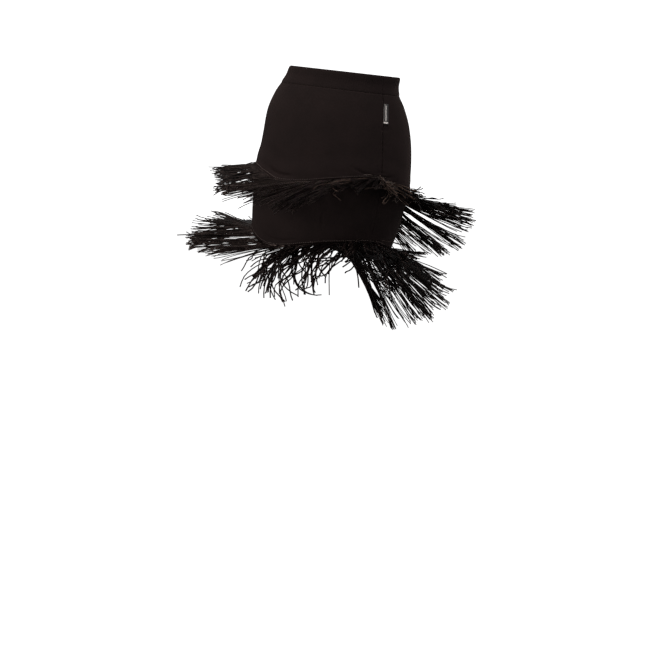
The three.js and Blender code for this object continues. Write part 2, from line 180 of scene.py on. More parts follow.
def cloth_wall(name, around, drop, out, thickness, is_ring):
    """A wall of cloth on a grid of places, its top and foot edges a little rounded."""
    taper = np.zeros(out.shape)
    taper[0] = EDGE_ROUNDING
    taper[-1] = EDGE_ROUNDING
    outer = cloth_point(around, drop, out - taper)
    inner = cloth_point(around, drop, out - thickness + taper)
    notes = np.stack([around * MM_PER_DEGREE, drop, np.zeros(drop.shape)], axis=-1)
    rows, columns = out.shape
    points = np.concatenate([outer.reshape(-1, 3), inner.reshape(-1, 3)])
    both = np.concatenate([notes.reshape(-1, 3), notes.reshape(-1, 3)])
    return build_mesh(name, points, wall_faces(rows, columns, is_ring), both)


def linear(hex_colour):
    """An sRGB hex value as linear RGBA."""
    channels = [int(hex_colour[i:i + 2], 16) / 255 for i in (1, 3, 5)]
    return [c / 12.92 if c <= 0.04045 else ((c + 0.055) / 1.055) ** 2.4 for c in channels] + [1.0]


def new_material(name):
    """A material with no nodes yet."""
    material = bpy.data.materials.new(name)
    material.use_nodes = True
    material.node_tree.nodes.clear()
    return material


def add(material, kind, inputs=None, stops=(), **settings):
    """Adds a node. Its inputs are values or other nodes' outputs, and stops a ramp's colours."""
    tree = material.node_tree
    node = tree.nodes.new(kind)
    for name, value in settings.items():
        setattr(node, name, value)
    for name, value in (inputs or {}).items():
        if isinstance(value, bpy.types.NodeSocket):
            tree.links.new(value, node.inputs[name])
        else:
            node.inputs[name].default_value = value
    for number, (place, colour) in enumerate(stops):
        elements = node.color_ramp.elements
        element = elements[number] if number < 2 else elements.new(place)
        element.position = place
        element.color = linear(colour)
    return node


# Polyamide and elastane jersey, circular knitted and dyed black: a matt, slightly warm black
# with a soft bloom at grazing angles. Its wales are 0.9 mm apart and its courses 0.65 mm, drawn
# at 1.5 and 1.1 mm to show. The noises' scales count their patches in a metre.
WALE = 1.5
COURSE = 1.1
COURSE_SHARE = 0.35
FUZZ_SHARE = 1.2


def jersey_material():
    cloth = new_material("black_stretch_jersey")
    place = add(cloth, "ShaderNodeAttribute", attribute_name="cloth_mm").outputs["Vector"]
    apart = add(cloth, "ShaderNodeSeparateXYZ", {0: place}).outputs
    wales = add(cloth, "ShaderNodeMath", {0: apart["X"], 1: 2 * math.pi / WALE}, operation="MULTIPLY")
    courses = add(cloth, "ShaderNodeMath", {0: apart["Y"], 1: 2 * math.pi / COURSE}, operation="MULTIPLY")
    wale = add(cloth, "ShaderNodeMath", {0: wales.outputs[0]}, operation="SINE")
    course = add(cloth, "ShaderNodeMath", {0: courses.outputs[0]}, operation="SINE")
    knit = add(cloth, "ShaderNodeMath",
               {0: course.outputs[0], 1: COURSE_SHARE, 2: wale.outputs[0]}, operation="MULTIPLY_ADD")
    body = add(cloth, "ShaderNodeTexCoord").outputs["Object"]
    mottle = add(cloth, "ShaderNodeTexNoise", {
        "Vector": body, "Scale": 22.0, "Detail": 4.0, "Roughness": 0.6})
    fuzz = add(cloth, "ShaderNodeTexNoise", {"Vector": body, "Scale": 900.0, "Detail": 2.0})
    colour = add(cloth, "ShaderNodeValToRGB", {0: mottle.outputs[0]},
                 [(0.3, "#0d0909"), (0.72, "#110c0c")])
    height = add(cloth, "ShaderNodeMath",
                 {0: fuzz.outputs[0], 1: FUZZ_SHARE, 2: knit.outputs[0]}, operation="MULTIPLY_ADD")
    bump = add(cloth, "ShaderNodeBump", {
        "Strength": 0.22, "Distance": 0.0004, "Height": height.outputs[0]})
    shader = add(cloth, "ShaderNodeBsdfPrincipled", {
        "Base Color": colour.outputs[0], "Roughness": 0.85, "Specular IOR Level": 0.04,
        "Sheen Weight": 0.03, "Sheen Roughness": 0.5, "Sheen Tint": linear("#d0b4b0"),
        "Normal": bump.outputs[0]})
    add(cloth, "ShaderNodeOutputMaterial", {"Surface": shader.outputs[0]})
    return cloth


jersey = jersey_material()

# The left side seam's place around, down the skirt. The right one is half a turn on.
SIDE_SEAM = [
    dict(drop=0, around=65.6),
    dict(drop=35, around=66.4),
    dict(drop=72, around=62),
    dict(drop=110, around=59.6),
    dict(drop=180, around=59.4),
    dict(drop=260, around=61),
    dict(drop=360, around=64),
]
SEAM_GROOVE = 1.6
SEAM_WIDTH = 1.3
SEAM_SOFT_FROM = 195
SEAM_SOFT_OVER = 20
SEAM_SOFTENING = 0.65


def smoothstep(value):
    """Rises from 0 to 1 with level ends."""
    value = np.clip(value, 0, 1)
    return value * value * (3 - 2 * value)


def turned(around, centre):
    """Degrees from a place around, the short way."""
    return (around - centre + 180) % 360 - 180


def seam_groove(around, drop):
    """The depth of both side seams' grooves, softer below the upper fringe."""
    seam = read_table(SIDE_SEAM, "drop", "around", drop)
    nearest = np.minimum(np.abs(turned(around, seam)), np.abs(turned(around, seam + 180)))
    softened = smoothstep((drop - SEAM_SOFT_FROM) / SEAM_SOFT_OVER)
    groove = SEAM_GROOVE * (1 - SEAM_SOFTENING * softened)
    return groove * np.exp(-(nearest * MM_PER_DEGREE / SEAM_WIDTH) ** 2)


band_around, band_drop = np.meshgrid(np.arange(BAND_COLUMNS) * 360 / BAND_COLUMNS, BAND_ROWS)
band_angle = np.radians(band_around)
gather = np.sin(band_angle * BAND_GATHERS + GATHER_DRIFT * np.sin(band_angle * GATHER_DRIFTS))
middle_strip = np.sin(np.pi * band_drop / BAND_HEIGHT) ** 2
band_out = read_table(BAND_PROFILE, "drop", "out", band_drop)
band_out = band_out + GATHER_HEIGHT * gather * middle_strip
band_out = band_out - BAND_GROOVE_SHARE * seam_groove(band_around, band_drop)
waistband = cloth_wall("waistband_cloth", band_around, band_drop, band_out, BAND, True)
waistband.data.materials.append(jersey)
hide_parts("waistband")
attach(waistband, "root")

# Upper panels
# The front and back of the hip yoke, cut from the same jersey and seamed at both sides. They
# are stretched smooth over the hips, and the hem stands off over the fringe's heading tape.
JERSEY = 1.2
TAPE = 1.3
GAP = 0.3
UPPER_TOP = BAND_HEIGHT + GAP
# The yoke lies close to the body, and rises by LAP to pass over the tape and the lower panels.
LAP = JERSEY + GAP + TAPE + GAP
LIFT_FROM = 45
LIFT_FULL = 12
CURL_HEIGHT = 14
UPPER_HEM = [
    dict(around=-68, drop=203, curl=1),
    dict(around=-47, drop=207, curl=3),
    dict(around=-32, drop=215, curl=5),
    dict(around=-20, drop=222, curl=4),
    dict(around=0, drop=216, curl=1),
    dict(around=20, drop=204, curl=0),
    dict(around=44, drop=192, curl=0),
    dict(around=58, drop=191, curl=0),
    dict(around=81, drop=206, curl=1),
    dict(around=100, drop=217, curl=1),
    dict(around=120, drop=230, curl=1),
    dict(around=145, drop=243, curl=2),
    dict(around=172, drop=247, curl=2),
    dict(around=200, drop=236, curl=2),
    dict(around=230, drop=212, curl=2),
    dict(around=258, drop=201, curl=1),
]
# Each crease runs from one place to another; depth is mm into the cloth, less than nothing
# for a ridge, and width is its half width.
UPPER_CREASES = [
    dict(around=-31, drop=203, to_around=-10, to_drop=210, width=2.0, depth=3.4),
    dict(around=-44, drop=205, to_around=-20, to_drop=219, width=3.2, depth=-1.8),
    dict(around=34, drop=176, to_around=72, to_drop=185, width=2.2, depth=2.8),
    dict(around=50, drop=186, to_around=78, to_drop=194, width=2.2, depth=1.6),
    dict(around=56, drop=97, to_around=69, to_drop=96, width=1.8, depth=2.0),
    dict(around=14, drop=186, to_around=34, to_drop=184, width=5, depth=0.6),
    dict(around=98, drop=190, to_around=118, to_drop=201, width=4, depth=1.1),
    dict(around=150, drop=62, to_around=205, to_drop=66, width=8, depth=0.9),
    dict(around=165, drop=186, to_around=192, to_drop=197, width=4, depth=1.2),
    dict(around=215, drop=176, to_around=232, to_drop=190, width=3.5, depth=1.1),
    dict(around=236, drop=150, to_around=250, to_drop=158, width=3, depth=0.7),
    dict(around=262, drop=184, to_around=280, to_drop=192, width=4, depth=0.9),
]
SEAM_PUCKERS = [
    dict(drop=44, reach=6, depth=0.3),
    dict(drop=128, reach=7, depth=1.6),
    dict(drop=143, reach=5, depth=1.4),
    dict(drop=157, reach=6, depth=1.7),
    dict(drop=169, reach=5, depth=1.4),
    dict(drop=179, reach=10, depth=1.2),
    dict(drop=236, reach=7, depth=0.45),
    dict(drop=262, reach=6, depth=0.4),
    dict(drop=290, reach=8, depth=0.5),
]
PUCKER_WIDTH = 2.2
PUCKER_SLANT = 0.12
CREASE_BOW = 0.08
CREASE_FADE = 0.45
CREASE_OVERRUN = 0.15
HEM_ROLL = 0.45
HEM_ROLL_ABOVE = 1.3
HEM_ROLL_WIDTH = 0.9
STITCH_ABOVE = 2.4
STITCH_DIP = 0.25
STITCH_DIP_WIDTH = 0.8
TOP_SEAM_DIP = 0.1
TOP_SEAM_REACH = 1.2
# A panel's columns stand closest beside its side seams. These are shares of its width.
SEAM_COLUMNS = np.array([0, 0.0015, 0.003, 0.005, 0.0075])
PANEL_COLUMNS = 190
SEAM_INSET = 0.02
# Heights of the rows near a hem, in mm, close enough together to draw its fold and stitching.
HEM_ROWS_FROM = 50
HEM_ROWS = [44, 38, 33, 28, 24, 20, 17, 14.5, 12.5, 11, 9.8, 8.8, 7.8, 6.8, 6, 5.2, 4.4, 3.7, 3.1,
            2.5, 2, 1.5, 1.1, 0.7, 0.4, 0]


def hem_curl(hem, around, above):
    """How far a hem curls off the body."""
    share = np.clip(1 - above / CURL_HEIGHT, 0, 1)
    return read_table(hem, "around", "curl", around, 360) * share ** 2


def upper_lift(above):
    """How far the yoke has risen over the tape, by height above its hem."""
    return LAP * (1 - smoothstep((above - LIFT_FULL) / (LIFT_FROM - LIFT_FULL)))


def crease_depth(rows, around, drop):
    """How far the cloth goes in at each place, over all the creases of a table."""
    depth = np.zeros(around.shape)
    for row in rows:
        run = np.array([turned(row["to_around"], row["around"]) * MM_PER_DEGREE,
                        row["to_drop"] - row["drop"]])
        length = np.hypot(*run)
        side = turned(around, row["around"]) * MM_PER_DEGREE
        down = drop - row["drop"]
        along = (side * run[0] + down * run[1]) / length ** 2
        bow = CREASE_BOW * length * np.sin(np.pi * np.clip(along, 0, 1))
        away = (down * run[0] - side * run[1]) / length - bow
        enter = smoothstep((along + CREASE_OVERRUN) / CREASE_FADE)
        leave = smoothstep((1 + CREASE_OVERRUN - along) / CREASE_FADE)
        depth += row["depth"] * enter * leave * np.exp(-(away / row["width"]) ** 2)
    return depth


def seam_depth(around, drop):
    """The groove of both side seams, with the small puckers that their stitches pull."""
    depth = seam_groove(around, drop)
    seam = read_table(SIDE_SEAM, "drop", "around", drop)
    for half_turn in (0, 180):
        away = np.abs(turned(around, seam + half_turn)) * MM_PER_DEGREE
        for pucker in SEAM_PUCKERS:
            across = np.exp(-((drop - pucker["drop"] - PUCKER_SLANT * away) / PUCKER_WIDTH) ** 2)
            depth += pucker["depth"] * across * np.exp(-away / pucker["reach"])
    return depth


# Long soft swells left in the stretched cloth. Waves are counted round the skirt, and slant is
# how far a wave shifts, in radians, over SWELL_DROP.
SWELL_DROP = 60
SWELLS = [
    dict(waves=3, slant=0.8, phase=0.4, height=0.5),
    dict(waves=5, slant=-1.1, phase=2.1, height=0.35),
    dict(waves=11, slant=1.6, phase=4.0, height=0.18),
]


def swell(around, drop, growth):
    """The height of the swells, by how far they have grown."""
    height = np.zeros(around.shape)
    for wave in SWELLS:
        turn = np.radians(around) * wave["waves"] + wave["slant"] * drop / SWELL_DROP
        height += wave["height"] * np.sin(turn + wave["phase"])
    return height * growth


def hem_form(hem, around, above):
    """The hem's curl, the roll of its folded edge and the dip that its row of stitches pulls."""
    roll = HEM_ROLL * np.exp(-((above - HEM_ROLL_ABOVE) / HEM_ROLL_WIDTH) ** 2)
    dip = STITCH_DIP * np.exp(-((above - STITCH_ABOVE) / STITCH_DIP_WIDTH) ** 2)
    return hem_curl(hem, around, above) + roll - dip


def panel_grid(first, body_rows, length, top, hem, top_level, hem_level):
    """Places of a panel: columns over half the ring from a side seam, rows from top to hem."""
    body = np.linspace(0, 1 - HEM_ROWS_FROM / length, body_rows)
    share = np.concatenate([body, 1 - np.array(HEM_ROWS) / length])
    middle = np.linspace(0.01, 0.99, PANEL_COLUMNS)
    column = np.concatenate([SEAM_COLUMNS, middle, 1 - SEAM_COLUMNS[::-1]])
    level = top_level + (hem_level - top_level) * share
    seam = read_table(SIDE_SEAM, "drop", "around", level)[:, None]
    around = seam + first + SEAM_INSET + (180 - 2 * SEAM_INSET) * column[None, :]
    hem_drop = read_table(hem, "around", "drop", around, 360)
    top_drop = top(around)
    return around, top_drop + (hem_drop - top_drop) * share[:, None]


# A panel's rows are spaced for its usual length, and its hem's usual level places its seams.
UPPER_LEVEL = 205
UPPER_LENGTH = 170
UPPER_ROWS = 40
UPPER_GROWTH = 40


def upper_out(around, drop):
    """How far the yoke stands off the surface."""
    above = read_table(UPPER_HEM, "around", "drop", around, 360) - drop
    growth = smoothstep((drop - UPPER_TOP) / UPPER_GROWTH)
    out = upper_lift(above) + hem_form(UPPER_HEM, around, above) + swell(around, drop, growth)
    out = out - crease_depth(UPPER_CREASES, around, drop) - seam_depth(around, drop)
    return out - TOP_SEAM_DIP * np.exp(-(drop - UPPER_TOP) / TOP_SEAM_REACH)


def upper_panel(name, first):
    """Half of the yoke, from the left side seam or from the right one, half a turn on."""
    def top(places):
        return np.full(places.shape, UPPER_TOP)

    around, drop = panel_grid(first, UPPER_ROWS, UPPER_LENGTH, top, UPPER_HEM,
                              UPPER_TOP, UPPER_LEVEL)
    piece = cloth_wall(name, around, drop, upper_out(around, drop), JERSEY, False)
    piece.data.materials.append(jersey)
    return piece


upper_front = upper_panel("upper_front_cloth", 180)
upper_back = upper_panel("upper_back_cloth", 0)
for piece, node in ((upper_front, "upper_front"), (upper_back, "upper_back")):
    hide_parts(node)
    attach(piece, "root")

# Lower panels
# The front and back of the lower tier, in the same jersey. Their tops lap up inside the upper
# hem behind the tape, and their own hem holds the second row of fringe.
LAP_HEIGHT = 12
LOWER_HEM = [
    dict(around=-62, drop=331, curl=2),
    dict(around=-44, drop=342, curl=4),
    dict(around=-26, drop=351, curl=4),
    dict(around=-8, drop=346, curl=1),
    dict(around=10, drop=334, curl=0),
    dict(around=30, drop=322, curl=0),
    dict(around=56, drop=313, curl=0),
    dict(around=72, drop=312, curl=1),
    dict(around=88, drop=320, curl=2),
    dict(around=112, drop=336, curl=1),
    dict(around=140, drop=354, curl=1),
    dict(around=170, drop=362, curl=2),
    dict(around=200, drop=354, curl=2),
    dict(around=235, drop=338, curl=2),
    dict(around=265, drop=331, curl=1),
]
LOWER_CREASES = [
    dict(around=-32, drop=335, to_around=0, to_drop=331, width=2.2, depth=2.6),
    dict(around=-12, drop=292, to_around=6, to_drop=312, width=5, depth=0.9),
    dict(around=18.5, drop=274, to_around=20.5, to_drop=296, width=2.0, depth=2.4),
    dict(around=-52, drop=312, to_around=-36, to_drop=326, width=4, depth=-1.0),
    dict(around=40, drop=290, to_around=58, to_drop=300, width=4, depth=0.6),
    dict(around=84, drop=280, to_around=102, to_drop=306, width=4, depth=1.1),
    dict(around=128, drop=300, to_around=150, to_drop=318, width=5, depth=1.2),
    dict(around=176, drop=282, to_around=182, to_drop=310, width=3.5, depth=1.0),
    dict(around=214, drop=296, to_around=236, to_drop=316, width=4.5, depth=1.1),
    dict(around=262, drop=284, to_around=276, to_drop=306, width=4, depth=0.9),
]
LOWER_LEVEL = 330
LOWER_LENGTH = 135
LOWER_ROWS = 30
LOWER_GROWTH_FROM = 6
LOWER_GROWTH = 30
LOWER_SWELL_TURN = 40


def lower_out(around, drop):
    """How far the lower tier stands off the surface, smooth where it laps up inside."""
    above = read_table(LOWER_HEM, "around", "drop", around, 360) - drop
    below_upper = drop - read_table(UPPER_HEM, "around", "drop", around, 360)
    growth = smoothstep((below_upper - LOWER_GROWTH_FROM) / LOWER_GROWTH)
    out = hem_form(LOWER_HEM, around, above) + swell(around + LOWER_SWELL_TURN, drop, growth)
    return out - (crease_depth(LOWER_CREASES, around, drop) + seam_depth(around, drop)) * growth


def lower_panel(name, first):
    """Half of the lower tier, from the left side seam or from the right one."""
    def top(places):
        return read_table(UPPER_HEM, "around", "drop", places, 360) - LAP_HEIGHT

    around, drop = panel_grid(first, LOWER_ROWS, LOWER_LENGTH, top, LOWER_HEM,
                              UPPER_LEVEL - LAP_HEIGHT, LOWER_LEVEL)
    piece = cloth_wall(name, around, drop, lower_out(around, drop), JERSEY, False)
    piece.data.materials.append(jersey)
    return piece


lower_front = lower_panel("lower_front_cloth", 180)
lower_back = lower_panel("lower_back_cloth", 0)
for piece, node in ((lower_front, "lower_front"), (lower_back, "lower_back")):
    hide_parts(node)
    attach(piece, "root")

# Fringe tapes
# Each tier of fringe is knitted onto a narrow heading tape of black viscose braid, sewn flat
# inside the hem so that its foot shows below the edge.
TAPE_ROWS = [6, 4, 2, 0, -1.2, -2.4, -3.6, -4.6]
TAPE_COLUMNS = 480
TAPE_RIBS = 240
TAPE_RIB_HEIGHT = 0.12


def heading_tape(name, hem, is_upper):
    """A ring of tape behind a hem. Its rows are heights above the hem's edge."""
    column = np.arange(TAPE_COLUMNS) * 360 / TAPE_COLUMNS
    around, above = np.meshgrid(column, TAPE_ROWS)
    drop = read_table(hem, "around", "drop", around, 360) - above
    held = np.maximum(above, 0)
    lift = upper_lift(held) if is_upper else 0
    ribs = TAPE_RIB_HEIGHT * np.sin(np.radians(around) * TAPE_RIBS)
    out = lift + hem_curl(hem, around, held) - JERSEY - GAP + ribs
    return cloth_wall(name, around, drop, out, TAPE, True)


# How the fringe flies, by place around, in degrees. A lock's heading lags its place around by
# its turn; it leaves the tape at its rise, and lift is the change by its tip. Locks differ up
# and down by fan and sideways by sweep. Reach is the share of its length that a lock spans.
# Loose is the share of cords that leave their lock, and droop how far those bend down.
UPPER_FLIGHT = [
    dict(around=-100, turn=46, rise=-6, lift=0, fan=3, sweep=6, reach=0.93, loose=0, droop=10),
    dict(around=-80, turn=48, rise=-6, lift=0, fan=3, sweep=6, reach=0.93, loose=0, droop=10),
    dict(around=-62, turn=53, rise=-6, lift=0, fan=3, sweep=5, reach=0.9, loose=0, droop=10),
    dict(around=-40, turn=70, rise=-7, lift=0, fan=4, sweep=5, reach=0.9, loose=0, droop=10),
    dict(around=-25, turn=75, rise=-7, lift=-1, fan=3, sweep=5, reach=0.9, loose=0, droop=10),
    dict(around=-12, turn=65, rise=-4, lift=-2, fan=3, sweep=5, reach=0.9, loose=0, droop=10),
    dict(around=0, turn=50, rise=-6, lift=-3, fan=3, sweep=5, reach=0.95, loose=0, droop=10),
    dict(around=10, turn=42, rise=-13, lift=-6, fan=5, sweep=5, reach=0.9, loose=0, droop=10),
    dict(around=20, turn=42, rise=-18, lift=-6, fan=6, sweep=5, reach=0.82, loose=0, droop=10),
    dict(around=30, turn=44, rise=-16, lift=-5, fan=6, sweep=6, reach=0.82, loose=0, droop=10),
    dict(around=40, turn=44, rise=-11, lift=-4, fan=6, sweep=7, reach=0.85, loose=0.05, droop=0),
    dict(around=52, turn=40, rise=-7, lift=-5, fan=6, sweep=8, reach=0.72, loose=0.25, droop=0),
    dict(around=66, turn=38, rise=-5, lift=-9, fan=6, sweep=10, reach=0.68, loose=0.4, droop=0),
    dict(around=82, turn=42, rise=-3, lift=-10, fan=5, sweep=8, reach=0.7, loose=0.3, droop=0),
    dict(around=96, turn=54, rise=-6, lift=5, fan=6, sweep=5, reach=0.86, loose=0, droop=10),
    dict(around=108, turn=46, rise=-11, lift=5, fan=4, sweep=5, reach=0.92, loose=0.01, droop=10),
    dict(around=122, turn=38, rise=-10, lift=0, fan=4, sweep=5, reach=0.92, loose=0.01, droop=10),
    dict(around=140, turn=40, rise=-27, lift=2, fan=6, sweep=6, reach=0.95, loose=0.01, droop=10),
    dict(around=160, turn=46, rise=-44, lift=4, fan=6, sweep=6, reach=0.98, loose=0.02, droop=20),
    dict(around=180, turn=54, rise=-44, lift=4, fan=6, sweep=6, reach=0.97, loose=0.02, droop=20),
    dict(around=205, turn=52, rise=-12, lift=0, fan=6, sweep=6, reach=0.97, loose=0, droop=10),
    dict(around=235, turn=50, rise=0, lift=0, fan=4, sweep=6, reach=0.97, loose=0, droop=10),
]
LOWER_FLIGHT = [
    dict(around=-100, turn=30, rise=3, lift=0, fan=4, sweep=6, reach=0.97, loose=0.01, droop=10),
    dict(around=-80, turn=31, rise=4, lift=0, fan=5, sweep=5, reach=0.95, loose=0.01, droop=10),
    dict(around=-66, turn=35, rise=-3, lift=0, fan=8, sweep=6, reach=0.95, loose=0.01, droop=10),
    dict(around=-50, turn=40, rise=-4, lift=0, fan=6, sweep=6, reach=0.92, loose=0.01, droop=10),
    dict(around=-38, turn=42, rise=-2, lift=-2, fan=6, sweep=6, reach=0.93, loose=0.02, droop=20),
    dict(around=-28, turn=44, rise=-3, lift=-1, fan=5, sweep=6, reach=0.88, loose=0.02, droop=15),
    dict(around=-18, turn=46, rise=-6, lift=-2, fan=6, sweep=9, reach=0.8, loose=0.15, droop=25),
    dict(around=-6, turn=44, rise=-7, lift=-5, fan=6, sweep=12, reach=0.8, loose=0.5, droop=50),
    dict(around=8, turn=36, rise=-8, lift=-6, fan=7, sweep=16, reach=0.84, loose=0.7, droop=55),
    dict(around=24, turn=28, rise=-6, lift=-8, fan=12, sweep=18, reach=0.72, loose=0.6, droop=35),
    dict(around=38, turn=20, rise=2, lift=-14, fan=6, sweep=14, reach=0.8, loose=0.4, droop=30),
    dict(around=58, turn=28, rise=2, lift=-14, fan=5, sweep=12, reach=0.85, loose=0.3, droop=15),
    dict(around=76, turn=40, rise=-2, lift=-14, fan=5, sweep=10, reach=0.85, loose=0.3, droop=20),
    dict(around=92, turn=36, rise=-5, lift=-6, fan=6, sweep=6, reach=0.93, loose=0.1, droop=20),
    dict(around=106, turn=32, rise=-16, lift=-2, fan=9, sweep=8, reach=0.93, loose=0.04, droop=10),
    dict(around=124, turn=29, rise=-38, lift=0, fan=10, sweep=8, reach=0.95, loose=0.01, droop=10),
    dict(around=145, turn=33, rise=-55, lift=2, fan=9, sweep=8, reach=1, loose=0.01, droop=10),
    dict(around=168, turn=44, rise=-73, lift=6, fan=6, sweep=6, reach=0.9, loose=0.01, droop=10),
    dict(around=184, turn=50, rise=-42, lift=0, fan=7, sweep=6, reach=0.92, loose=0.01, droop=10),
    dict(around=200, turn=48, rise=-8, lift=0, fan=4, sweep=6, reach=0.97, loose=0, droop=10),
    dict(around=235, turn=35, rise=4, lift=0, fan=4, sweep=6, reach=0.97, loose=0, droop=10),
]

# Chainette cords
# Each cord is a chain-knitted viscose yarn 2 mm thick and 160 mm long, looped into the tape in
# dense rows. Cords cling together in locks, drawn as four cords each, and locks gather in swags
# as they whip outwards in the spin.
CORD_LENGTH = 160
CORD_RADIUS = 1.0
CORD_STEPS = 12
CORNERS = np.radians([45, 135, 225, 315])
LOCKS = 230
LOCK_CORDS = 4
LOCK_SCATTER = 0.35
SWAG_LOCKS = 3
SWAG_AGREE = 0.3
SWAG_DIFFER = 0.75
# Cords are rooted below the hem's edge, a little apart. Over the first CLOSING of their length
# they draw together by CLOSED.
ROOT_BELOW_HEM = 2.2
ROOT_RUN = 2.1
ROOT_SCATTER = 0.6
ROOT_SCATTER_DOWN = 0.8
CLOSING = 0.4
CLOSED = 0.8
# How cords differ, in degrees: those that stay in their lock, then the loose ones.
TURN_SPREAD = (1.6, 9)
TURN_CURL = (2, 30)
TURN_WAVE = (1, 30)
RISE_SPREAD = (1.4, 4.5)
RISE_CURL = (1.6, 6)
RISE_WAVE = (1, 26)
DROOP_SPREAD = (0, 1.2)
LOCK_BEND = 4
LOCK_LIFT = 3
KINK = 1.8
HOOK = 8
HOOK_FROM = 0.8
HOOK_SHARE = 0.2
# Cords are ragged in length by these shares, within limits.
LOCK_RAGGED = 0.06
CORD_RAGGED = 0.04
SHORTEST = 0.7
LONGEST = 1.06
# A few short locks stray upwards.
STRAYS = 0.05
STRAY_RISE = 9
STRAY_REACH = 0.55
# Loose cords leave in strands of four that differ by their own share. Those of the lower tier
# are drawn 2.8 mm thick, so that they show.
STRAND_CORDS = 4
UPPER_OWN_SHARE = 0.6
LOWER_OWN_SHARE = 0.5
LOOSE_START = 0.3
LOOSE_SWELL = 1.4
LEAST_LIMP = 0.5
FULL_DROOP = 90
# Shade picks a cord's colour, varied at random by lock and cord. The last tenth is painted
# highlight: the upper tier's loose cords get lighter colours that stand in for the light their curls
# catch.
LOCK_SHADE = 0.6
PAINTED_GLINT_FROM = 0.9
PAINTED_GLINT_SPAN = 0.1


